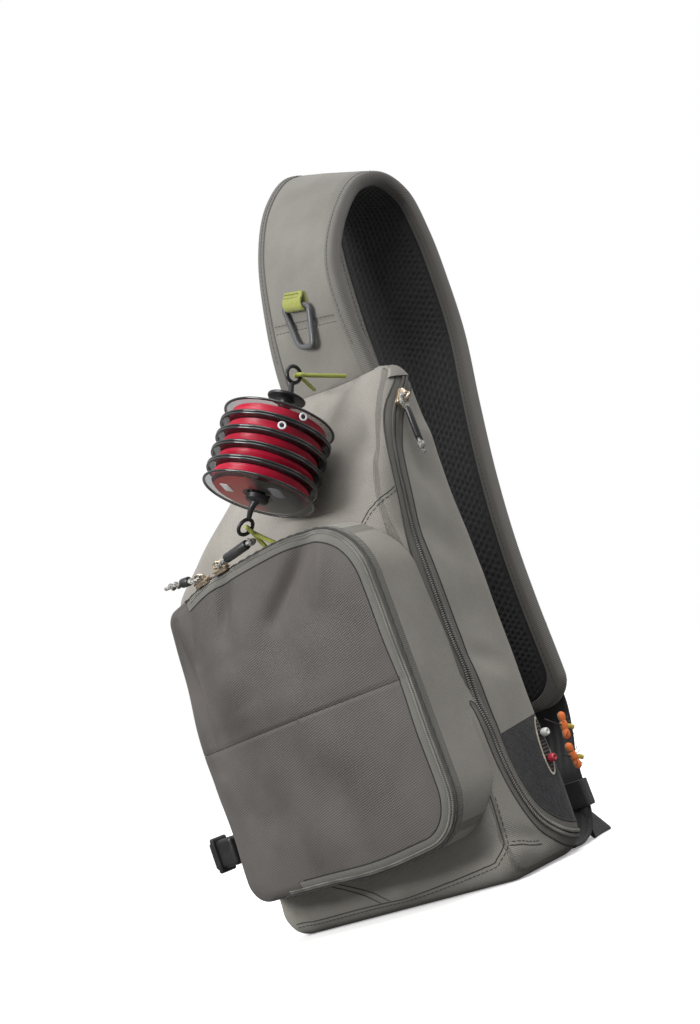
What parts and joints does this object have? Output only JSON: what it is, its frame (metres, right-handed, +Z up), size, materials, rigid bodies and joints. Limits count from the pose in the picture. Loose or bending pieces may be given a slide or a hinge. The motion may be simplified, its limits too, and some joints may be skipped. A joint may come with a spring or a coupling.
{
  "type": "fishing tackle sling bag",
  "caption": "Padded one-shoulder sling bag with a long side zip, a raised front pocket, an arched mesh-lined strap, a webbing tail and a stack of line spools hooked on its front.",
  "frame": {"origin": "middle of the main compartment's base, on the flat face that the bag stands on", "axes": "+Z up, the front pocket and the spools face -Y, the wearer's side with the strap faces +Y, +X to the right as seen from the front, where the long zip runs"},
  "size_m": [0.2812, 0.2363, 0.5005],
  "materials": {
    "grey_cloth": "woven, matte",
    "dark_cloth": "smooth coated cloth, soft sheen",
    "binding_cloth": "fine grosgrain, matte",
    "light_zip": "woven tape with a coil",
    "dark_zip": "nylon coil",
    "felt": "felted, fibrous",
    "spacer_mesh": "open spacer mesh",
    "black_webbing": "herringbone webbing",
    "green_elastic": "braided elastic and woven tape",
    "grey_plastic": "moulded, satin",
    "black_plastic": "moulded, semi-gloss",
    "smoke_plastic": "clear smoke plastic with a printed label",
    "crimson_line": "wound monofilament",
    "slider_metal": "satin champagne",
    "pull_cord": "speckled braided cord",
    "pull_tube": "dark grey sleeve",
    "cream_rim": "cream moulded rim",
    "white_bead": "glossy",
    "red_bead": "glossy",
    "fly_foam": "foam strip"
  },
  "bodies": {
    "bag": {"body_front": "grey_cloth", "body_rear": "grey_cloth", "felt_patch": "felt", "tool_port_rim": "cream_rim", "tool_port": "black_plastic", "main_zip_tape": "binding_cloth", "main_zip_coil": "dark_zip", "zip_garage": "grey_cloth", "back_pad": "spacer_mesh", "pocket_panel_upper": "dark_cloth", "pocket_panel_lower": "dark_cloth", "pocket_zip_band": "light_zip", "pocket_gusset": "grey_cloth", "strap_cover": "grey_cloth", "strap_lining": "spacer_mesh", "strap_binding": "binding_cloth", "accessory_ring": "grey_plastic", "green_tab": "green_elastic", "anchor_webbing": "black_webbing", "tail_webbing": "black_webbing", "web_keeper": "black_plastic", "buckle_web": "black_webbing", "side_buckle": "black_plastic", "spindle": "black_plastic", "elastic_loop_upper": "green_elastic", "elastic_loop_lower": "green_elastic", "main_slider": "slider_metal", "main_pull_cord": "pull_cord", "main_pull_tube": "pull_tube", "pocket_right_slider": "slider_metal", "pocket_right_pull_cord": "pull_cord", "pocket_right_pull_tube": "pull_tube", "pocket_left_slider": "slider_metal", "pocket_left_pull_cord": "pull_cord", "pocket_left_pull_tube": "pull_tube", "bead_white": "white_bead", "bead_red": "red_bead", "fly_upper": "fly_foam", "fly_lower": "fly_foam"},
    "line_spool_1": {"spool_1": "smoke_plastic", "wound_line_1": "crimson_line"},
    "line_spool_2": {"spool_2": "smoke_plastic", "wound_line_2": "crimson_line"},
    "line_spool_3": {"spool_3": "smoke_plastic", "wound_line_3": "crimson_line"},
    "line_spool_4": {"spool_4": "smoke_plastic", "wound_line_4": "crimson_line"},
    "line_spool_5": {"spool_5": "smoke_plastic", "wound_line_5": "crimson_line"}
  },
  "joints": [
    {"name": "spool_1_turn", "type": "hinge", "parent": "bag", "child": "line_spool_1", "pos_m": [0.05367, -0.04797, 0.29992], "axis": [-0.2891, -0.5082, -0.8113], "continuous": true},
    {"name": "spool_2_turn", "type": "hinge", "parent": "bag", "child": "line_spool_2", "pos_m": [0.05083, -0.05295, 0.29197], "axis": [-0.2891, -0.5082, -0.8113], "continuous": true},
    {"name": "spool_3_turn", "type": "hinge", "parent": "bag", "child": "line_spool_3", "pos_m": [0.048, -0.05793, 0.28402], "axis": [-0.2891, -0.5082, -0.8113], "continuous": true},
    {"name": "spool_4_turn", "type": "hinge", "parent": "bag", "child": "line_spool_4", "pos_m": [0.04517, -0.06291, 0.27607], "axis": [-0.2891, -0.5082, -0.8113], "continuous": true},
    {"name": "spool_5_turn", "type": "hinge", "parent": "bag", "child": "line_spool_5", "pos_m": [0.04233, -0.06789, 0.26812], "axis": [-0.2891, -0.5082, -0.8113], "continuous": true}
  ]
}
